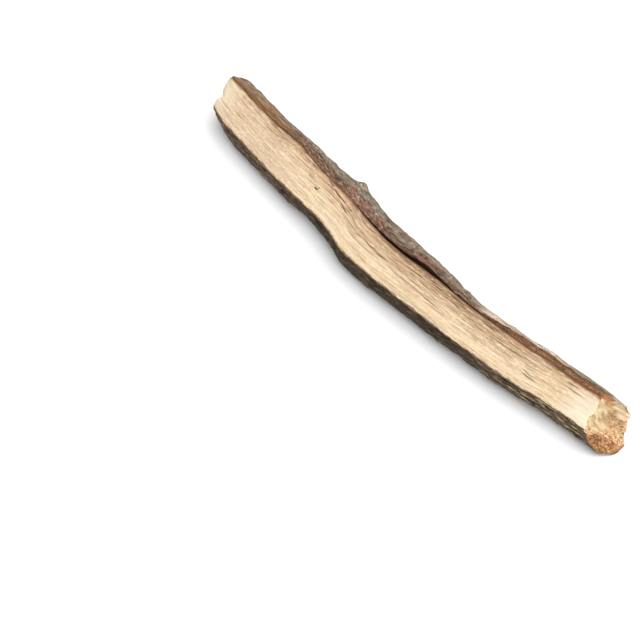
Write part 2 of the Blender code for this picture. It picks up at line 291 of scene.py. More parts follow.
def lay_grid(name, surface, attributes, turn_over=True, close_ring=False):
    """A grid of faces laid on the given points, with named values at its corners and its normals outward."""
    rows, columns = surface.shape[:2]
    sheet = bmesh.new()
    bmesh.ops.create_grid(sheet, x_segments=columns - 1, y_segments=rows - 1, size=1.0)
    layers = {key: sheet.verts.layers.float_vector.new(key) for key in attributes}
    points = to_world(surface).reshape(-1, 3)
    for i, vert in enumerate(sheet.verts):
        vert.co = points[i]
    for key, layer in layers.items():
        values = attributes[key].reshape(-1, 3)
        for i, vert in enumerate(sheet.verts):
            vert[layer] = values[i]
    if turn_over:
        bmesh.ops.reverse_faces(sheet, faces=sheet.faces)
    if close_ring:
        bmesh.ops.remove_doubles(sheet, verts=sheet.verts, dist=1e-7)
    mesh = bpy.data.meshes.new(name)
    sheet.to_mesh(mesh)
    sheet.free()
    mesh.shade_smooth()
    piece = bpy.data.objects.new(name, mesh)
    bpy.context.scene.collection.objects.link(piece)
    return piece


def small_fissures():
    """Fine fissures strewn over the face, most of them in its upper half past the bend."""
    dice = np.random.default_rng(20)
    for _ in range(SMALL_FISSURES):
        station = dice.uniform(8, 268)
        share = dice.uniform(0.04, 0.97) ** (0.6 if station > 120 else 0.9)
        yield station, share, dice.uniform(4, 15), dice.uniform(0.12, 0.34), dice.normal(0, 0.02)


def split_face_relief(x, t, width):
    """The torn face's height over its flat, and how deep each point lies in a fissure."""
    q = t * width
    fade = np.sin(math.pi * np.clip(t, 0, 1)) ** 0.35
    smooth_facet = smooth_step(268, 282, x + 9 * (0.5 - t)) * smooth_step(1.0, 0.7, t)
    fibre = 1 - 0.85 * smooth_facet
    crown = 0.9 * np.sin(math.pi * np.clip(t, 0, 1) ** 0.7)
    ridges = 0.20 * waves(x, q, 0.0, 110, 3.6, 1.3) + 0.08 * waves(x, q, 0.0, 60, 1.6, 5.9)
    upper = 0.3 + 1.0 * smooth_step(0.35, 0.9, t) * smooth_step(105, 150, x)
    threads = upper * (
        0.07 * waves(x, q, 0.0, 55, 0.80, 2.7)
        + 0.10 * waves(x, q, 0.0, 40, 0.42, 9.1)
        + 0.12 * waves(x, q, 0.0, 18, 0.26, 4.6)
    )
    torn = waves(x, q, 0.0, 60, 2.6, 12.4)
    steps = 0.14 * smooth_step(-0.03, 0.03, torn) + 0.14 * smooth_step(0.27, 0.30, torn)
    cut = np.zeros_like(x)
    for station, share, length, depth, slant in (*FISSURES, *small_fissures()):
        wander = 0.25 * np.sin((x - station) / length * 4 + station)
        offset = q - share * width - wander - slant * (x - station)
        reach = 0.16 + 0.12 * depth
        slit = np.exp(-((offset / reach) ** 2) - ((x - station) / (0.42 * length)) ** 4)
        cut = np.maximum(cut, depth * slit)
    fibres = (threads + steps) * fibre * (0.35 + 0.65 * fade)
    relief = crown + ridges * fade + fibres - 0.9 * smooth_facet * fade
    return relief - cut, cut


def low_edge_teeth(x):
    """How far the low edge is torn in or out, so that wood and bark keep meeting there."""
    return 0.30 * waves(x, 0.0, 0.0, 4.2, 1, 5.2) + 0.22 * waves(x, 0.0, 0.0, 1.7, 1, 9.4)


def build_split_wood():
    """The heart wood as far as it shows: the torn face, and its wall down into the crack."""
    x = np.linspace(0, LENGTH, FACE_ROWS)
    low, high, across, outward, lip_inner, _ = edges_of(x)
    wood_foot, _ = crack_feet(x, high, outward, lip_inner)
    width = np.linalg.norm(high - low, axis=1)
    shares = np.linspace(0, 1, FACE_COLUMNS)
    skirt = low + np.array((1.4, -1.4))
    columns = [skirt] + [low + (high - low) * share for share in shares]
    columns += [high + (wood_foot - high) * k / CRACK_COLUMNS for k in range(1, CRACK_COLUMNS + 1)]
    columns.append(wood_foot + 0.8 * across * along(CRACK_WIDTH, x)[:, None] - 0.3 * outward)
    surface = draw_ends(x, np.stack(columns, axis=1))
    rows, count = surface.shape[:2]
    t = np.concatenate(([0.0], shares, np.ones(CRACK_COLUMNS + 1)))[None, :].repeat(rows, 0)
    true_x = surface[..., 0]
    relief, cut = split_face_relief(true_x, t, np.interp(true_x, x, width))
    wall = np.arange(count)[None, :] > FACE_COLUMNS
    wall_relief = 0.22 * waves(true_x, surface[..., 2], 0.0, 30, 0.9, 3.3)
    down = np.clip((np.arange(count)[None, :] - FACE_COLUMNS) / CRACK_COLUMNS, 0, 1)
    relief = np.where(wall, relief * (1 - smooth_step(0, 0.3, down)), relief)
    teeth = low_edge_teeth(true_x) * np.clip(1 - t / 0.07, 0, 1)
    sideways = wall * wall_relief * np.sin(math.pi * down) + teeth
    surface = surface + at_points(true_x, x, outward) * relief[..., None]
    surface = surface + at_points(true_x, x, across) * sideways[..., None]
    surface = round_rim(surface, 2.2, 0.9, 0.35)
    q = t * np.interp(true_x, x, width) + down * 6
    attributes = {
        "grain": np.dstack((true_x, q, np.zeros_like(q))),
        "zone": np.dstack((t, cut / 0.5, down * np.ones_like(t))),
    }
    return lay_grid("split_wood", surface, attributes), surface


def round_rim(surface, far_width, far_amount, near_amount):
    """Wears the rims of the two ends round, by drawing the last millimetres in to the stick's middle."""
    x, y, z = surface[..., 0], surface[..., 1], surface[..., 2]
    far = np.clip(1 - (x - far_end_x(y, z)) / far_width, 0, 1) ** 2 * far_amount
    near = np.clip(1 - (near_end_x(y, z) - x) / NEAR_RIM_WIDTH, 0, 1) ** 2 * near_amount
    way = np.array(ENDS_MIDDLE) - surface * np.array((0.0, 1.0, 1.0))
    way /= np.linalg.norm(way, axis=2)[..., None] + 1e-9
    return surface + way * (far + near)[..., None]


def knot_centres():
    """Each knot's middle on the bark's outline, with its sizes."""
    centres = []
    for station, place, radius, height, eye in KNOTS:
        low, _, _, _, _, lip_outer = edges_of(np.array([station]))
        y, z = bark_line(station, low[0], lip_outer[0], np.array([round(place * 32) / 32]))[0]
        centres.append((np.array((station, y, z)), radius, height, eye))
    return centres


def bark_relief(surface, skin):
    """The bark's height over its outline: swells, plates, wrinkles, cracks, warts and knots."""
    x, y, z = surface[..., 0], surface[..., 1], surface[..., 2]
    swells = 0.5 * waves(x, y, z, 30, 12, 2.2)
    plates = 0.35 * waves(x, y, z, 10, 5.5, 8.4)
    lumps = 0.40 * waves(x, y, z, 5.4, 3.0, 1.9) + 0.26 * waves(x, y, z, 2.6, 1.6, 6.6)
    grit = 0.14 * waves(x, y, z, 1.3, 0.9, 3.7)
    wrinkles = -0.12 * np.exp(-((waves(x, y, z, 1.5, 6.0, 33.1) / 0.07) ** 2))
    scale = waves(x, y, z, 9, 3.2, 15.2)
    scales = 0.26 * smooth_step(0.0, 0.05, scale) + 0.22 * smooth_step(0.3, 0.34, scale)
    furrow = np.abs(waves(x, y, z, 26, 3.6, 10.3)) + 0.25 * np.abs(waves(x, y, z, 7, 2.2, 4.1))
    furrows = np.exp(-((furrow / 0.06) ** 2))
    relief = swells + plates + lumps + grit + wrinkles + scales - 0.2 - FURROW_DEPTH * furrows
    red = np.zeros_like(x)
    rings = np.zeros_like(x)
    for centre, radius, height, eye in knot_centres():
        distance = np.sqrt(((surface - centre) ** 2).sum(axis=2))
        distance = distance * (1 + 0.18 * waves(x, y, z, 3, 3, radius))
        collar = height * np.exp(-((distance / (0.62 * radius)) ** 2))
        relief = relief + collar
        if eye > 0.5:
            around = np.exp(-((distance / (0.95 * radius)) ** 2))
            ripple = np.cos(distance * RING_PITCH)
            rings = np.maximum(rings, around * (0.5 + 0.5 * ripple))
            relief = relief + 0.3 * around * ripple
            relief = relief - (eye + 0.6) * np.exp(-((distance / (0.2 * radius)) ** 2))
            red = np.maximum(red, np.exp(-((distance / (0.55 * radius)) ** 2)))
    return relief * skin, furrows, red, rings


def bark_sections(x, shares):
    """The bark's sections from the crack's floor round to the low edge, and the ways across the face."""
    low, high, across, outward, lip_inner, lip_outer = edges_of(x)
    _, bark_foot = crack_feet(x, high, outward, lip_inner)
    ragged = 0.5 * waves(x, 0.0, 0.0, 5.5, 1, 8.8) + 0.5 * waves(x, 0.0, 0.0, 1.9, 1, 2.4)
    lip_inner = lip_inner + across * ragged[:, None]
    skin = np.stack([bark_line(s, low[i], lip_outer[i], shares) for i, s in enumerate(x)])
    floor = bark_foot - 0.8 * across * along(CRACK_WIDTH, x)[:, None] - 0.25 * outward
    columns = [floor]
    columns += [bark_foot + (lip_inner - bark_foot) * k / INNER_COLUMNS for k in range(INNER_COLUMNS + 1)]
    columns += [lip_inner + (lip_outer - lip_inner) * k / LIP_COLUMNS for k in range(1, LIP_COLUMNS)]
    tuck = low + np.array((1.6, -0.9))
    return np.concatenate((np.stack(columns, axis=1), skin, tuck[:, None, :]), axis=1), across


def build_bark():
    """The bark: its wall up from the crack, its broken lip, and its skin round to the low edge."""
    x = np.linspace(0, LENGTH, BARK_ROWS)
    fine = np.linspace(0, FINE_SKIN_SHARE, FINE_SKIN_COLUMNS, endpoint=False)
    wide = np.linspace(FINE_SKIN_SHARE, 1, WIDE_SKIN_COLUMNS)
    shares = np.concatenate((fine, wide))
    section, across = bark_sections(x, shares)
    surface = draw_ends(x, section)
    rows, count = surface.shape[:2]
    first_skin = count - 1 - len(shares)
    place = np.concatenate((np.zeros(first_skin), shares, [1.0]))[None, :].repeat(rows, 0)
    lip = np.clip((np.arange(count) - 1 - INNER_COLUMNS) / LIP_COLUMNS, 0, 1)[None, :].repeat(rows, 0)
    strength = (0.25 + 0.75 * smooth_step(0, 1, lip)) * smooth_step(1.0, 0.985, place)
    strength[:, 0] = 0
    calm = smooth_step(198, 212, surface[..., 0]) * smooth_step(0.34, 0.24, place)
    relief, furrows, red, rings = bark_relief(surface, strength * (1 - 0.6 * calm))
    normals = section_normals(surface)
    surface = surface + normals * relief[..., None]
    teeth = low_edge_teeth(surface[..., 0]) * smooth_step(0.97, 1.0, place)
    surface = surface + at_points(surface[..., 0], x, across) * teeth[..., None]
    surface = round_rim(surface, 3.0, 0.8, 0.3)
    surface[..., 2] = np.maximum(surface[..., 2], 0.0)
    true_x = surface[..., 0]
    steps = np.linalg.norm(np.diff(section[::40], axis=1), axis=2).mean(axis=0)
    girth = np.concatenate(([0], np.cumsum(steps)))
    girth = (girth - girth[1 + INNER_COLUMNS])[None, :].repeat(rows, 0)
    uneven = 1.5 * waves(true_x, girth, 0.0, 5.5, 3.0, 7.2) + 0.8 * waves(true_x, girth, 0.0, 1.8, 1.2, 3.9)
    bare_width = np.interp(true_x, *zip(*BARE_WIDTH))
    bare = smooth_step(0.6, -0.6, girth - bare_width - uneven)
    attributes = {
        "grain": np.dstack((true_x, girth, np.zeros_like(girth))),
        "zone": np.dstack((relief, furrows, red)),
        "patch": np.dstack((bare, rings, girth[0, -1] - girth)),
    }
    return lay_grid("bark", surface, attributes), surface


def build_end(name, wood, bark, row, end_x, outward_sign):
    """An end of the stick: rings from the rims of the wood and the bark in to the middle of the section."""
    rim = np.concatenate((wood[row, 1:-1], bark[row, 1:-1]))
    rim = np.concatenate((rim, rim[:1]))
    is_bark = np.concatenate((np.zeros(wood.shape[1] - 2), np.ones(bark.shape[1] - 2), [0.0]))
    middle = rim[:-1].mean(axis=0)
    size = 1 - np.linspace(0, 1, CAP_RINGS) ** 0.85
    size[-1] = 0.0
    surface = middle + (rim[None, :, :] - middle) * size[:, None, None]
    y, z = surface[..., 1], surface[..., 2]
    inward = 1 - size[:, None]
    flat = end_x(y, z)
    crumbs = (
        0.30 * waves(0.0, y, z, 1, 2.4, 5.5)
        + 0.22 * waves(0.0, y, z, 1, 1.1, 7.5)
        + 0.14 * waves(0.0, y, z, 1, 0.5, 2.5)
    )
    torn_line = np.interp(y, *zip(*TORN_LINE))
    torn = smooth_step(-1.2, 1.2, z - torn_line + 2.4 * waves(0.0, y, z, 1, 1.9, 8.1))
    bark_line_z = np.interp(y, *zip(*BARK_LINE))
    ring = smooth_step(0.4, -0.4, z - bark_line_z + 0.9 * waves(0.0, y, z, 1, 1.4, 3.3))
    # A triangle of fresh wood by the groove, between a rising and a falling line
    fresh = smooth_step(-0.2, 0.4, z - 16.2 - 0.87 * (y + 3.6)) * smooth_step(-4.0, -3.3, y)
    fresh = fresh * smooth_step(23.6, 23.0, z + 0.72 * (y + 3.6))
    folds = 0.5 * waves(0.0, y, z, 1, 1.3, 6.7) * torn
    blend = smooth_step(0, 0.06, inward)
    surface[..., 0] = rim[None, :, 0] * (1 - blend) + (flat + outward_sign * (crumbs + folds)) * blend
    depth = inward * np.linalg.norm(rim[:, 1:] - middle[1:], axis=1)[None, :]
    attributes = {
        "grain": np.dstack((flat, y, z)),
        "zone": np.dstack((depth, is_bark[None, :].repeat(CAP_RINGS, 0), crumbs + folds)),
        "patch": np.dstack((torn, ring, fresh)),
    }
    return lay_grid(name, surface, attributes, outward_sign > 0, close_ring=True)


# Materials

# Stretches that a finish covers, by station: where it starts, is full, starts to fade and has gone
TAN_STRETCH = (118, 160, 206, 264)
PINK_STRETCH = (50, 80, 112, 140)
# where painted shade blackens the crack
PAINTED_CRACK_SHADE_STRETCH = (124, 140, 196, 214)
# where the painted shadow on the front bark lies
PAINTED_SHADOW_STRETCH = (60, 110, 205, 250)
RED_LIP_STRETCH = (100, 112, 136, 150)
RED_SPOT_STRETCH = (167, 168.5, 171.5, 173.5)
RIDGE_STRETCH = (204, 218, 260, 270)
GREEN_STRETCH = (257, 268, 287, 293)
ORANGE_STRETCH = (283, 286, 290, 295)

# The patterns of the end grain run this far along the stick, so that they don't change over an end
THROUGH = 40.0

# A mix node's sockets for colours
MIX_FACTOR = 0
MIX_BASE = 6
MIX_TOP = 7
MIX_RESULT = 2


class Coat:
    """A colour of one material, built up layer by layer. Colours are given as on a screen, 0 to 255."""

    def __init__(self, finish, colour):
        self.finish = finish
        self.colour = colour

    def lay(self, top, mask, amount=1.0):
        """Lays a colour or another coat on top where the mask is 1, at most by amount."""
        node = self.finish.tree.nodes.new("ShaderNodeMix")
        node.data_type = "RGBA"
        self.finish.put(self.finish.times(mask, amount), node.inputs[MIX_FACTOR])
        self.finish.put(self.colour, node.inputs[MIX_BASE])
        self.finish.put(top.colour if isinstance(top, Coat) else top, node.inputs[MIX_TOP])
        self.colour = node.outputs[MIX_RESULT]


class Finish:
    """A node material with short ways to add the nodes that its surface needs."""

    def __init__(self, name, roughness):
        self.material = bpy.data.materials.new(name)
        self.material.use_nodes = True
        self.tree = self.material.node_tree
        self.shader = self.tree.nodes["Principled BSDF"]
        self.shader.inputs["Roughness"].default_value = roughness
        self.shader.inputs["Specular IOR Level"].default_value = 0.25
        self.attributes = {}

    def put(self, value, socket):
        """Sets a number or a colour on a socket, or links another node's output to it."""
        if isinstance(value, tuple):
            socket.default_value = srgb(*value)
        elif isinstance(value, (int, float)):
            socket.default_value = value
        else:
            self.tree.links.new(value, socket)

    def coat(self, colour):
        return Coat(self, colour)

    def attribute(self, name):
        """A named value of the mesh, from one node however often it is used."""
        if name not in self.attributes:
            node = self.tree.nodes.new("ShaderNodeAttribute")
            node.attribute_name = name
            self.attributes[name] = node.outputs["Vector"]
        return self.attributes[name]

    def parts_of(self, name):
        """The three numbers of a named value of the mesh."""
        node = self.tree.nodes.new("ShaderNodeSeparateXYZ")
        self.put(self.attribute(name), node.inputs[0])
        return node.outputs

    def noise(self, size, low, high, detail=3.0, seed=0.0):
        """Noise that follows the grain, with its size in millimetres, cut between two levels."""
        node = self.tree.nodes.new("ShaderNodeGroup")
        node.node_tree = grain_noise
        self.put(self.attribute("grain"), node.inputs["Place"])
        node.inputs["Size"].default_value = size
        for name, value in (("Low", low), ("High", high), ("Detail", detail), ("Seed", seed)):
            node.inputs[name].default_value = value
        return node.outputs["Mask"]

    def hairlines(self, size, width, seed):
        """Thin lines along the grain, where stretched noise passes its middle value."""
        level = self.noise(size, 0.35, 0.65, 1.0, seed)
        return self.ramp(self.away_from(level, 0.5), width, 0.3 * width)

    def ragged(self, value, size, amount, seed, low=0.3, high=0.7):
        """A value with noise added, so that a limit drawn on it comes out ragged."""
        return self.plus(value, self.times(self.noise(size, low, high, 3, seed), amount))

    def ramp(self, value, low, high):
        """A mask that goes smoothly from 0 at low to 1 at high."""
        node = self.tree.nodes.new("ShaderNodeMapRange")
        node.interpolation_type = "SMOOTHSTEP"
        self.put(value, node.inputs["Value"])
        node.inputs["From Min"].default_value = low
        node.inputs["From Max"].default_value = high
        return node.outputs["Result"]

    def stretch(self, value, limits):
        """A mask that is 1 on a stretch and fades out at both its ends."""
        start, full, fading, gone = limits
        return self.times(self.ramp(value, start, full), self.ramp(value, gone, fading))

    def level(self, mask, low, high):
        """A number that goes from low to high as the mask goes from 0 to 1."""
        return self.plus(low, self.times(mask, high - low))

    def maths(self, operation, first, second):
        node = self.tree.nodes.new("ShaderNodeMath")
        node.operation = operation
        self.put(first, node.inputs[0])
        self.put(second, node.inputs[1])
        return node.outputs[0]

    def times(self, first, *others):
        product = first
        for other in others:
            product = self.maths("MULTIPLY", product, other)
        return product

    def plus(self, first, second):
        return self.maths("ADD", first, second)

    def away_from(self, value, middle):
        return self.maths("ABSOLUTE", self.plus(value, -middle), 0.0)

    def finish(self, coat, height, depth):
        """Sets the base colour, and the fine relief as a height map that is depth millimetres deep."""
        self.put(coat.colour, self.shader.inputs["Base Color"])
        bump = self.tree.nodes.new("ShaderNodeBump")
        bump.inputs["Strength"].default_value = 1.0
        bump.inputs["Distance"].default_value = depth * MM
        self.put(height, bump.inputs["Height"])
        self.put(bump.outputs["Normal"], self.shader.inputs["Normal"])
        return self.material


def make_grain_noise():
    """Noise stretched to a size in millimetres along, across and into the grain, cut between two levels."""
    group = bpy.data.node_groups.new("grain_noise", "ShaderNodeTree")
    for name in ("Place", "Size"):
        group.interface.new_socket(name, in_out="INPUT", socket_type="NodeSocketVector")
    for name in ("Low", "High", "Detail", "Seed"):
        group.interface.new_socket(name, in_out="INPUT", socket_type="NodeSocketFloat")
    group.interface.new_socket("Mask", in_out="OUTPUT", socket_type="NodeSocketFloat")
    nodes, links = group.nodes, group.links
    given = nodes.new("NodeGroupInput")
    result = nodes.new("NodeGroupOutput")
    divide = nodes.new("ShaderNodeVectorMath")
    divide.operation = "DIVIDE"
    shift = nodes.new("ShaderNodeVectorMath")
    shift.operation = "ADD"
    texture = nodes.new("ShaderNodeTexNoise")
    texture.inputs["Scale"].default_value = 1.0
    texture.inputs["Roughness"].default_value = 0.62
    cut = nodes.new("ShaderNodeMapRange")
    links.new(given.outputs["Place"], divide.inputs[0])
    links.new(given.outputs["Size"], divide.inputs[1])
    links.new(divide.outputs[0], shift.inputs[0])
    links.new(given.outputs["Seed"], shift.inputs[1])
    links.new(shift.outputs[0], texture.inputs["Vector"])
    links.new(given.outputs["Detail"], texture.inputs["Detail"])
    links.new(texture.outputs["Fac"], cut.inputs["Value"])
    links.new(given.outputs["Low"], cut.inputs["From Min"])
    links.new(given.outputs["High"], cut.inputs["From Max"])
    links.new(cut.outputs["Result"], result.inputs["Mask"])
    return group


# The torn wood. upper is the share of the face's width from its low edge, made ragged

def lay_wood_tones(wood, colour, x, upper):
    """The torn face's broad tones: greyer at the chopped end, as painted shade; darker on its upper part and
    brown by the crack, partly as painted shade; tan past the bend.
    """
    # painted shade: the face darker and greyer toward the chopped end
    colour.lay((214, 186, 155), wood.ramp(x, 112, 50), 0.85)
    # darker on the face's upper part: partly its colour, partly painted shade where the face tilts away from
    # the light
    colour.lay((206, 168, 132), wood.ramp(upper, 0.74, 1.12), 0.6)
    past_bend = wood.stretch(x, TAN_STRETCH)
    colour.lay((184, 148, 108), wood.times(past_bend, wood.ramp(upper, 0.52, 0.90)), 0.76)
    # brown by the crack past the bend: partly its colour, partly painted shade beside the crack
    colour.lay((112, 78, 50), wood.times(past_bend, wood.ramp(upper, 0.95, 1.12)), 0.85)
    pink = wood.times(wood.ramp(upper, 0.78, 1.1), wood.stretch(x, PINK_STRETCH))
    colour.lay((190, 138, 104), pink, 0.75)
    colour.lay((214, 180, 140), wood.ramp(x, 215, 255), 0.26)


def lay_wood_grain(wood, colour, x, upper):
    """The torn fibres, some pale with painted highlights. Returns how deep the dark ones lie."""
    rough = wood.times(
        wood.level(wood.ramp(x, 90, 150), 0.5, 1.0),
        wood.level(wood.ramp(upper, 0.45, 1.0), 0.32, 1.0),
        wood.level(wood.ramp(x, 262, 205), 0.75, 1.0),
    )
    colour.lay((196, 158, 118), wood.hairlines((90, 1.2, 1), 0.15, 14.0), 0.28)
    colour.lay((208, 174, 136), wood.noise((4.6, 1.7, 1), 0.44, 0.62, 4, 91.0), 0.24)
    colour.lay((196, 156, 114), wood.noise((1.7, 0.8, 1), 0.49, 0.62, 2, 95.0), 0.30)
    colour.lay((255, 243, 216), wood.noise((2.2, 1.0, 1), 0.51, 0.63, 3, 93.0), 0.45)
    fuzz = wood.noise((3.2, 0.45, 1), 0.47, 0.60, 4, 33.0)
    colour.lay((178, 138, 98), wood.times(fuzz, wood.level(rough, 0.12, 0.62)))
    colour.lay((228, 190, 146), wood.noise((60, 1.1, 1), 0.50, 0.62, 2, 12.0), 0.16)
    # painted highlights: pale streaks along the grain where fibres catch the light
    colour.lay((255, 246, 220), wood.noise((24, 0.42, 1), 0.53, 0.62, 2, 23.0), 0.42)
    streaked = wood.noise((20, 1.4, 1), 0.40, 0.56, 2, 4.0)
    streaks = wood.times(wood.hairlines((60, 0.7, 1), 0.18, 3.0), streaked)
    colour.lay((164, 122, 82), wood.times(streaks, rough), 0.9)
    lined = wood.noise((12, 1.2, 1), 0.47, 0.57, 2, 18.0)
    lines = wood.times(wood.hairlines((44, 0.8, 1), 0.17, 17.0), lined, rough)
    colour.lay((84, 52, 30), lines, 0.95)
    specked = wood.noise((20, 4, 1), 0.42, 0.58, 2, 2.0)
    specks = wood.times(wood.noise((1.3, 0.5, 1), 0.62, 0.69, 2, 31.0), specked, rough)
    colour.lay((104, 70, 44), specks, 0.9)
    return wood.plus(wood.times(streaks, -0.6), wood.times(lines, -0.8))


def lay_wood_rims(wood, colour, x, share, cut):
    """The cream facet by the sawn end, the pale chopped end, the brown edges, that by the crack partly
    painted shade, and the fissures, darkened with painted shade.
    """
    facet_x = wood.plus(x, wood.times(share, -9.0))
    colour.lay((241, 226, 200), wood.times(wood.ramp(facet_x, 262, 278), wood.ramp(share, 1.0, 0.8)), 0.82)
    colour.lay((228, 212, 182), wood.ramp(wood.ragged(x, (6, 2, 1), 8.0, 8.0), 24, 11), 0.82)
    low_rim = wood.ragged(share, (5, 1.0, 1), -0.05, 6.0, 0.35, 0.65)
    colour.lay((112, 78, 50), wood.ramp(low_rim, 0.025, -0.004), 0.9)
    # the edge by the crack: brown, partly painted shade
    high_rim = wood.ragged(share, (7, 1.2, 1), 0.06, 9.0, 0.35, 0.65)
    colour.lay((134, 94, 60), wood.ramp(high_rim, 0.965, 1.02), 0.85)
    # painted shade in the fissures, darker with their depth
    colour.lay((84, 56, 36), wood.ramp(cut, 0.2, 0.8), 0.9)


def lay_wood_wall(wood, colour, x, down):
    """The wood's wall in the crack and the groove: painted shade black deep in the crack, red-brown by the
    sawn end.
    """
    wall = wood.coat((152, 113, 72))
    wall.lay((78, 50, 26), wood.noise((12, 0.36, 1), 0.44, 0.56, 2, 61.0))
    wall.lay((66, 40, 24), wood.ramp(down, 0.16, 0.06), 0.7)
    ruddy = wood.noise((3.0, 0.8, 1), 0.38, 0.56, 3, 97.0)
    wall.lay((156, 106, 76), wood.times(wood.ramp(x, 222, 244), ruddy), 0.7)
    colour.lay(wall, wood.ramp(down, 0.01, 0.06), 0.95)
    # painted shade: the wall blackened deep in the crack
    deep = wood.times(wood.ramp(down, 0.12, 0.5), wood.stretch(x, PAINTED_CRACK_SHADE_STRETCH))
    colour.lay((52, 32, 22), deep, 0.9)
    orange = wood.times(wood.ramp(down, 0.05, 0.2), wood.ramp(x, 282.5, 285))
    colour.lay((214, 150, 104), orange, 0.85)


def split_wood_finish():
    """Dry torn mango wood: cream with tan streaks, brown specks, and browner by the bark."""
    wood = Finish("split_mango_wood", 0.72)
    x, _, _ = wood.parts_of("grain")
    share, cut, down = wood.parts_of("zone")
    upper = wood.ragged(share, (46, 1.8, 1), 0.34, 5.0)
    colour = wood.coat((249, 227, 189))
    colour.lay((243, 216, 177), wood.noise((80, 3.2, 1), 0.40, 0.62, 2))
    lay_wood_tones(wood, colour, x, upper)
    dark_fibres = lay_wood_grain(wood, colour, x, upper)
    lay_wood_rims(wood, colour, x, share, cut)
    lay_wood_wall(wood, colour, x, down)
    height = wood.plus(dark_fibres, wood.noise((12, 0.22, 1), 0.3, 0.7, 3, 41.0))
    return wood.finish(colour, height, 0.22)


# The bark. girth is the way round it from its lip, and below that the way down into the crack

def lay_mottling(bark, colour, wrinkle, crevice):
    """Pink-brown and olive patches, dark and pale streaks, flecks, wrinkles and crevices."""
    colour.lay((90, 77, 58), bark.noise((9, 5, 1), 0.42, 0.60, 4))
    colour.lay((136, 104, 88), bark.noise((24, 10, 1), 0.50, 0.62, 4, 14.0), 0.75)
    colour.lay((104, 102, 70), bark.noise((26, 9, 1), 0.52, 0.64, 4, 9.0), 0.7)
    colour.lay((72, 57, 42), bark.noise((5.0, 1.1, 1), 0.46, 0.58, 4, 4.0), 0.75)
    colour.lay((156, 142, 118), bark.noise((5.5, 0.8, 1), 0.53, 0.64, 3, 19.0), 0.7)
    flecked = bark.noise((9, 5, 1), 0.42, 0.58, 2, 27.0)
    colour.lay((214, 206, 188), bark.times(bark.noise((2.6, 0.5, 1), 0.59, 0.66, 2, 24.0), flecked), 0.85)
    colour.lay((66, 52, 40), wrinkle, 0.22)
    colour.lay((48, 37, 28), crevice, 0.85)


def lay_top_furrows_and_painted_relief_light(bark, colour, girth, furrow, relief):
    """Paler at the top of the stick and darker in its furrows; paler on the bark's high spots as painted
    highlight and darker in its hollows as painted shade.
    """
    top = bark.ramp(bark.ragged(girth, (5, 3, 1), 4.0, 51.0), 15.0, 8.0)
    colour.lay((176, 162, 146), bark.times(top, bark.noise((5.0, 0.9, 1), 0.44, 0.58, 3, 33.0)), 0.55)
    colour.lay((44, 33, 25), bark.ramp(furrow, 0.25, 0.9), 0.85)
    # painted shade in the bark's hollows
    colour.lay((70, 55, 42), bark.ramp(relief, -0.1, -0.9), 0.6)
    # painted highlight on the bark's high spots
    colour.lay((176, 160, 140), bark.stretch(relief, (0.75, 1.2, 1.3, 1.9)), 0.35)


def lay_front_bark(bark, colour, x, from_low_edge):
    """The bark below the torn face: darkened with painted shade, with gold and black streaks, and darkest by
    the bend with a painted shadow.
    """
    # painted shade: the bark on this side darkened as if out of the light
    front = bark.ramp(bark.ragged(from_low_edge, (18, 4, 1), 9.0, 73.0), 20, 9)
    colour.lay((60, 46, 30), front, 0.62)
    gold = bark.times(bark.noise((9, 0.9, 1), 0.54, 0.61, 3, 77.0), bark.ramp(from_low_edge, 13, 7))
    colour.lay((200, 178, 134), bark.times(gold, bark.level(bark.ramp(x, 200, 245), 0.4, 0.9)))
    gloom = bark.times(bark.noise((8, 1.2, 1), 0.52, 0.59, 3, 79.0), bark.ramp(from_low_edge, 16, 9))
    colour.lay((30, 22, 15), gloom, 0.85)
    # painted shadow: the front bark darkest by the bend
    painted_shadow = bark.times(bark.stretch(x, PAINTED_SHADOW_STRETCH), bark.ramp(from_low_edge, 20, 11))
    colour.lay((34, 24, 17), painted_shadow, 0.55)
    colour.lay((150, 106, 70), bark.ramp(from_low_edge, 1.1, 0.3), 0.8)


def bare_bark(bark, x, girth, fibres):
    """Bark that has lost its skin: tan by the chopped end, then brown with a reddish stretch and a spot."""
    by_the_crack = bark.ramp(girth, 2.2, 1.2)
    rim = bark.coat((146, 104, 62))
    rim.lay((84, 56, 34), fibres, 0.8)
    bare = bark.coat((160, 126, 98))
    bare.lay((104, 72, 50), fibres, 0.9)
    bare.lay((206, 180, 154), bark.noise((9, 0.5, 1), 0.55, 0.63, 3, 55.0), 0.6)
    bare.lay(rim, by_the_crack, 0.9)
    brown = bark.coat((134, 98, 76))
    brown.lay((76, 50, 38), bark.noise((3.4, 0.7, 1), 0.44, 0.58, 3, 47.0), 0.95)
    brown.lay((204, 180, 158), bark.noise((4.4, 0.45, 1), 0.56, 0.63, 2, 53.0), 0.65)
    brown.lay((60, 38, 28), bark.hairlines((9, 1.3, 1), 0.26, 54.0), 0.6)
    reddish = bark.times(bark.stretch(x, RED_LIP_STRETCH), bark.noise((6, 1.6, 1), 0.44, 0.58, 3, 57.0))
    brown.lay((142, 84, 62), reddish, 0.75)
    threads = bark.hairlines((4.0, 1.2, 1), 0.14, 58.0)
    brown.lay((214, 190, 172), bark.times(threads, bark.level(reddish, 0.15, 0.65)))
    spot = bark.times(bark.stretch(x, RED_SPOT_STRETCH), by_the_crack)
    brown.lay((160, 100, 80), bark.times(spot, bark.noise((1.2, 0.8, 1), 0.36, 0.50, 2, 56.0)), 0.8)
    bare.lay(brown, bark.ramp(x, 34, 78))
    return bare


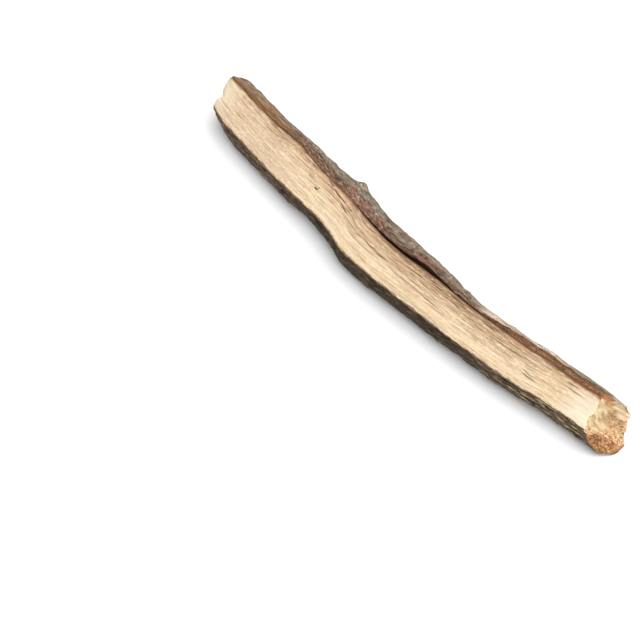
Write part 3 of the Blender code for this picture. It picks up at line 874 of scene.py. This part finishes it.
def lay_ridge(bark, colour, x, girth):
    """The pale ridge behind the groove with its seam, its green side and its splinter."""
    pale = bark.coat((234, 212, 188))
    pale.lay((190, 154, 126), bark.noise((12, 0.6, 1), 0.48, 0.60, 3, 59.0))
    pale.lay((122, 86, 60), bark.hairlines((26, 1.2, 1), 0.22, 60.0), 0.7)
    ragged_girth = bark.ragged(girth, (7, 1.6, 1), 3.4, 61.0)
    pale.lay((124, 84, 60), bark.ramp(bark.away_from(ragged_girth, 4.4), 0.4, 0.1), 0.75)
    top = bark.times(bark.ramp(ragged_girth, 7.4, 5.4), bark.ramp(girth, 0.1, 0.7))
    colour.lay(pale, bark.times(bark.stretch(x, RIDGE_STRETCH), top), 0.95)
    green = bark.coat((158, 152, 124))
    green.lay((112, 104, 78), bark.noise((5, 0.9, 1), 0.42, 0.60, 3, 63.0))
    side = bark.stretch(girth, (0.4, 1.2, 6, 12))
    colour.lay(green, bark.times(bark.stretch(x, GREEN_STRETCH), side), 0.8)
    splinter = bark.times(bark.ramp(x, 287, 291), bark.ramp(girth, 4.5, 3.6))
    colour.lay(pale, splinter, 0.9)


def lay_bark_wall(bark, colour, x, girth, fibres):
    """The bark's wall in the crack and the groove: painted shade black deep in the crack, red-brown by the
    sawn end.
    """
    by_the_end = bark.ramp(x, 216, 236)
    wall = bark.coat((196, 156, 114))
    wall.lay((92, 60, 38), fibres, 0.95)
    wall.lay((166, 118, 88), bark.times(by_the_end, bark.noise((3.2, 0.9, 1), 0.36, 0.54, 3, 83.0)), 0.75)
    wall.lay((214, 168, 130), bark.times(by_the_end, bark.noise((1.7, 0.6, 1), 0.54, 0.62, 2, 87.0)), 0.65)
    specks = bark.times(bark.ramp(x, 206, 222), bark.noise((1.5, 0.6, 1), 0.53, 0.62, 2, 85.0))
    wall.lay((82, 50, 34), specks, 0.75)
    colour.lay(wall, bark.ramp(girth, 0.2, -1.2), 0.95)
    # painted shade: the bark's wall blackened deep in the crack
    deep = bark.times(bark.stretch(x, PAINTED_CRACK_SHADE_STRETCH), bark.ramp(girth, -0.6, -2.6))
    colour.lay((52, 34, 24), deep, 0.9)
    orange = bark.times(bark.ramp(girth, 0.3, -0.4), bark.stretch(x, ORANGE_STRETCH))
    colour.lay((214, 150, 104), orange, 0.85)


def lay_knots(bark, colour, red, rings, from_low_edge):
    """Red-brown knots with chipped pale rings and a dark eye, fainter low on the front."""
    showing = bark.level(bark.ramp(from_low_edge, 14, 24), 0.3, 1.0)
    patchy = bark.noise((1.6, 1.2, 1), 0.36, 0.58, 3, 67.0)
    colour.lay((170, 104, 86), bark.times(red, patchy, showing), 0.85)
    chips = bark.noise((1.4, 0.8, 1), 0.42, 0.56, 2, 69.0)
    colour.lay((188, 170, 150), bark.times(rings, chips, showing), 0.7)
    colour.lay((44, 29, 22), bark.ramp(red, 0.86, 0.95), 0.85)


def bark_finish():
    """Dry mango bark: grey, olive and pink-brown mottling over dark crevices, red-brown where it broke."""
    bark = Finish("mango_bark", 0.86)
    x, girth, _ = bark.parts_of("grain")
    relief, furrow, red = bark.parts_of("zone")
    bare, rings, from_low_edge = bark.parts_of("patch")
    fibres = bark.noise((9, 0.5, 1), 0.43, 0.60, 3, 43.0)
    wrinkle = bark.noise((0.55, 3.2, 1), 0.58, 0.66, 3, 35.0)
    crevice = bark.noise((6, 0.6, 1), 0.60, 0.68, 3, 29.0)
    colour = bark.coat((116, 98, 77))
    lay_mottling(bark, colour, wrinkle, crevice)
    lay_top_furrows_and_painted_relief_light(bark, colour, girth, furrow, relief)
    lay_front_bark(bark, colour, x, from_low_edge)
    colour.lay(bare_bark(bark, x, girth, fibres), bare)
    lay_ridge(bark, colour, x, girth)
    lay_bark_wall(bark, colour, x, girth, fibres)
    lay_knots(bark, colour, red, rings, from_low_edge)
    colour.lay((20, 15, 10), 1.0, 0.14)
    height = bark.plus(bark.noise((2.0, 1.0, 1), 0.25, 0.75, 5, 71.0), bark.times(crevice, -0.8))
    height = bark.plus(height, bark.times(wrinkle, -0.15))
    height = bark.plus(height, bark.times(fibres, bare, -0.5))
    return bark.finish(colour, height, 0.4)


# The two ends

def torn_facets(sawn):
    """The facets that tore out of the sawn end by the split face, with painted highlights on their ridges
    and painted shade in their folds.
    """
    facets = sawn.coat((212, 190, 150))
    facets.lay((168, 144, 104), sawn.noise((THROUGH, 2.2, 3.4), 0.42, 0.60, 3, 21.0))
    # painted highlights on the facets' ridges
    facets.lay((238, 220, 184), sawn.noise((THROUGH, 1.0, 3.2), 0.55, 0.64, 3, 25.0), 0.55)
    # painted shade in the facets' folds
    facets.lay((122, 98, 66), sawn.noise((THROUGH, 0.8, 2.6), 0.58, 0.65, 2, 26.0), 0.6)
    return facets


def sawn_bark(sawn, y, z):
    """The bark below the sawn wood: speckled red-brown, darker at the front and along the bottom."""
    ring = sawn.coat((178, 130, 88))
    ring.lay((122, 76, 50), sawn.noise((THROUGH, 1.2, 1.2), 0.42, 0.58, 4, 17.0))
    ring.lay((98, 60, 32), sawn.ramp(sawn.ragged(y, (THROUGH, 2.4, 2.4), 3.0, 47.0), -9.5, -13.0), 0.6)
    ring.lay((214, 168, 112), sawn.noise((THROUGH, 0.65, 0.65), 0.53, 0.61, 3, 19.0), 0.75)
    ring.lay((70, 40, 24), sawn.noise((THROUGH, 0.7, 0.7), 0.57, 0.63, 3, 37.0), 0.85)
    ring.lay((96, 58, 40), sawn.ramp(z, 2.6, 0.8), 0.75)
    return ring


def sawn_finish():
    """End grain: tan with dark pores and pale specks of painted highlight, torn cream by the split face,
    red-brown bark at the bottom, and painted shade in its hollows.
    """
    sawn = Finish("sawn_mango_wood", 0.78)
    _, y, z = sawn.parts_of("grain")
    _, _, crumbs = sawn.parts_of("zone")
    torn, ring, fresh = sawn.parts_of("patch")
    pores = sawn.noise((THROUGH, 0.55, 0.55), 0.585, 0.62, 1, 3.0)
    colour = sawn.coat((208, 169, 124))
    colour.lay((192, 143, 102), sawn.noise((THROUGH, 2.6, 2.6), 0.42, 0.60, 3))
    # painted highlights: pale specks over the end grain
    colour.lay((246, 216, 166), sawn.noise((THROUGH, 0.8, 0.8), 0.52, 0.61, 2, 7.0), 0.85)
    colour.lay((92, 54, 30), pores, 0.9)
    streaks = sawn.coat((204, 170, 128))
    streaks.lay((158, 116, 78), sawn.noise((THROUGH, 0.7, 2.8), 0.42, 0.60, 3, 45.0))
    by_the_facets = sawn.times(sawn.stretch(y, (-9.2, -7.6, -5.0, -3.6)), sawn.ramp(z, 10, 15))
    colour.lay(streaks, by_the_facets, 0.7)
    colour.lay(torn_facets(sawn), torn, 0.92)
    colour.lay(sawn_bark(sawn, y, z), ring)
    cream = sawn.coat((246, 228, 196))
    cream.lay((214, 178, 134), sawn.noise((THROUGH, 2.4, 0.5), 0.44, 0.58, 2, 39.0))
    colour.lay(cream, fresh, 0.92)
    # painted shade in the end's hollows
    colour.lay((128, 92, 60), sawn.ramp(crumbs, -0.15, -0.45), 0.5)
    open_pores = sawn.times(pores, sawn.ramp(torn, 0.4, 0.0), sawn.ramp(ring, 0.4, 0.0))
    height = sawn.plus(sawn.noise((THROUGH, 0.8, 0.8), 0.15, 0.85, 5, 23.0), sawn.times(open_pores, -0.5))
    return sawn.finish(colour, height, 0.5)


def chopped_finish():
    """The chopped end: pale torn fibres with a brown ring of bark, and painted shade in its hollows."""
    chopped = Finish("chopped_mango_wood", 0.8)
    depth, is_bark, crumbs = chopped.parts_of("zone")
    colour = chopped.coat((236, 218, 182))
    colour.lay((208, 176, 132), chopped.noise((THROUGH, 1.6, 1.6), 0.40, 0.62, 4))
    colour.lay((150, 112, 76), chopped.noise((THROUGH, 0.6, 0.6), 0.56, 0.66, 3, 5.0), 0.7)
    bark = chopped.coat((150, 104, 70))
    bark.lay((98, 66, 44), chopped.noise((THROUGH, 0.8, 0.8), 0.42, 0.62, 4, 17.0))
    rim = chopped.ramp(chopped.ragged(depth, (THROUGH, 2.0, 2.0), 1.6, 13.0), 4.4, 3.4)
    colour.lay(bark, chopped.times(is_bark, rim), 0.95)
    # painted shade in the end's hollows
    colour.lay((120, 88, 60), chopped.ramp(crumbs, -0.1, -0.45), 0.6)
    height = chopped.noise((THROUGH, 0.7, 0.7), 0.15, 0.85, 5, 29.0)
    return chopped.finish(colour, height, 0.35)


# Studio

AIM = (159.69, -69.81, 11.49)
CAMERA_AZIMUTH = math.radians(51.637)
CAMERA_ELEVATION = math.radians(48.0)
CAMERA_DISTANCE = 0.93665
CAMERA_LENS = 110.0
FLOOR_REACH = 6.0
FLOOR_COLOUR = (0.80, 0.80, 0.805, 1)


def way_from(azimuth, elevation):
    """The unit vector from the stick to a viewer at that azimuth and elevation."""
    return Vector((
        math.sin(azimuth) * math.cos(elevation),
        -math.cos(azimuth) * math.cos(elevation),
        math.sin(elevation),
    ))


def set_camera():
    camera = bpy.data.objects.new("camera", bpy.data.cameras.new("camera"))
    bpy.context.scene.collection.objects.link(camera)
    camera.data.lens = CAMERA_LENS
    way = way_from(CAMERA_AZIMUTH, CAMERA_ELEVATION)
    camera.location = Vector(to_world(AIM)) + way * CAMERA_DISTANCE
    camera.rotation_euler = way.to_track_quat("Z", "Y").to_euler()
    bpy.context.scene.camera = camera


def add_softbox(name, azimuth, elevation, distance, side, power):
    light = bpy.data.objects.new(name, bpy.data.lights.new(name, "AREA"))
    bpy.context.scene.collection.objects.link(light)
    light.data.shape = "SQUARE"
    light.data.size = side
    light.data.energy = power
    way = way_from(math.radians(azimuth), math.radians(elevation))
    light.location = way * distance
    light.rotation_euler = way.to_track_quat("Z", "Y").to_euler()


def add_floor():
    sheet = bmesh.new()
    bmesh.ops.create_grid(sheet, x_segments=8, y_segments=8, size=FLOOR_REACH)
    mesh = bpy.data.meshes.new("floor")
    sheet.to_mesh(mesh)
    sheet.free()
    floor = bpy.data.objects.new("floor", mesh)
    bpy.context.scene.collection.objects.link(floor)
    paper = Finish("white_paper", 0.9)
    paper.shader.inputs["Base Color"].default_value = FLOOR_COLOUR
    mesh.materials.append(paper.material)


def set_studio():
    scene = bpy.context.scene
    scene.view_settings.view_transform = "Standard"
    world = bpy.data.worlds.new("studio")
    world.use_nodes = True
    background = world.node_tree.nodes["Background"]
    background.inputs["Color"].default_value = (1, 1, 1, 1)
    background.inputs["Strength"].default_value = 1.0
    scene.world = world
    add_softbox("key_softbox", azimuth=112, elevation=50, distance=1.5, side=2.6, power=33)
    add_softbox("top_softbox", azimuth=190, elevation=72, distance=1.6, side=1.6, power=5)
    add_floor()


def dress(piece, material):
    piece.data.materials.append(material)
    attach(piece, "root")
    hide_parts(STICK)


grain_noise = make_grain_noise()
set_camera()
set_studio()
split_wood, wood_points = build_split_wood()
bark, bark_points = build_bark()
sawn_end = build_end("sawn_end", wood_points, bark_points, -1, near_end_x, 1)
chopped_end = build_end("chopped_end", wood_points, bark_points, 0, far_end_x, -1)
dress(split_wood, split_wood_finish())
dress(bark, bark_finish())
dress(sawn_end, sawn_finish())
dress(chopped_end, chopped_finish())

bpy.context.view_layer.update()
